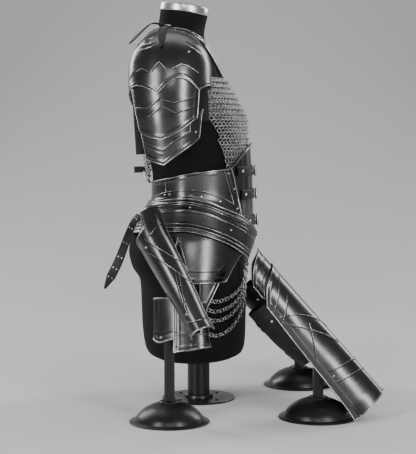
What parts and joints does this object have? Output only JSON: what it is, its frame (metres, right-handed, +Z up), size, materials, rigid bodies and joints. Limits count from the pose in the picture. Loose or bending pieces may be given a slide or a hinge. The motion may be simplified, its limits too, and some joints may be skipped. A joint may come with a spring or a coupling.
{
  "type": "suit of plate armour on a dress form with stands",
  "caption": "Dark steel plate armour with mail, leather straps and chains on a black limbless dress form, its loose arm and leg guards on domed stands.",
  "frame": {"origin": "centre of the underside of the dress form's foot flange, on the floor", "axes": "+Z up along the pole, +X the way the armour faces, -Y its right side"},
  "size_m": [0.5613, 0.5586, 0.8342],
  "materials": {
    "dark_steel": "blackened and polished",
    "bright_steel": "polished",
    "mail_steel": "satin wire",
    "cap_steel": "brushed",
    "black_leather": "smooth black",
    "form_cloth": "matt black jersey",
    "black_paint": "satin black"
  },
  "bodies": {
    "root": {"pauldron_R_cop": "dark_steel", "pauldron_R_upper_lame": "dark_steel", "pauldron_R_lower_lame": "dark_steel", "pauldron_L_cop": "dark_steel", "pauldron_L_upper_lame": "dark_steel", "pauldron_L_lower_lame": "dark_steel", "corset_R": "dark_steel", "belt_R": "dark_steel", "hip_plate_R": "dark_steel", "hip_lame_R": "dark_steel", "greave_R": "dark_steel", "vambrace_R": "dark_steel", "corset_L": "dark_steel", "belt_L": "dark_steel", "hip_plate_L": "dark_steel", "hip_lame_L": "dark_steel", "greave_L": "dark_steel", "vambrace_L": "dark_steel", "corset_placket": "dark_steel", "vambrace_L_flap": "dark_steel", "pauldron_R_leather_front": "black_leather", "pauldron_R_leather_back": "black_leather", "pauldron_L_leather_front": "black_leather", "pauldron_L_leather_back": "black_leather", "neck_strap_R": "black_leather", "shoulder_strap_R": "black_leather", "shoulder_tail_R": "black_leather", "calf_plate_R": "black_leather", "neck_strap_L": "black_leather", "shoulder_strap_L": "black_leather", "shoulder_tail_L": "black_leather", "calf_plate_L": "black_leather", "front_strap_1": "black_leather", "front_strap_2": "black_leather", "front_strap_3": "black_leather", "back_strap": "black_leather", "back_strap_tail": "black_leather", "mail_strap": "black_leather", "vambrace_R_hanger": "black_leather", "mail_front": "mail_steel", "mail_back": "mail_steel", "chains_R": "bright_steel", "chains_L": "bright_steel", "front_buckle_1": "bright_steel", "front_buckle_2": "bright_steel", "front_buckle_3": "bright_steel", "form_torso": "form_cloth", "form_neck_cap": "cap_steel", "form_pole": "black_paint", "form_flange": "black_paint", "stand_arm": "black_paint", "stand_leg_R": "black_paint", "stand_leg_L": "black_paint"}
  },
  "joints": []
}
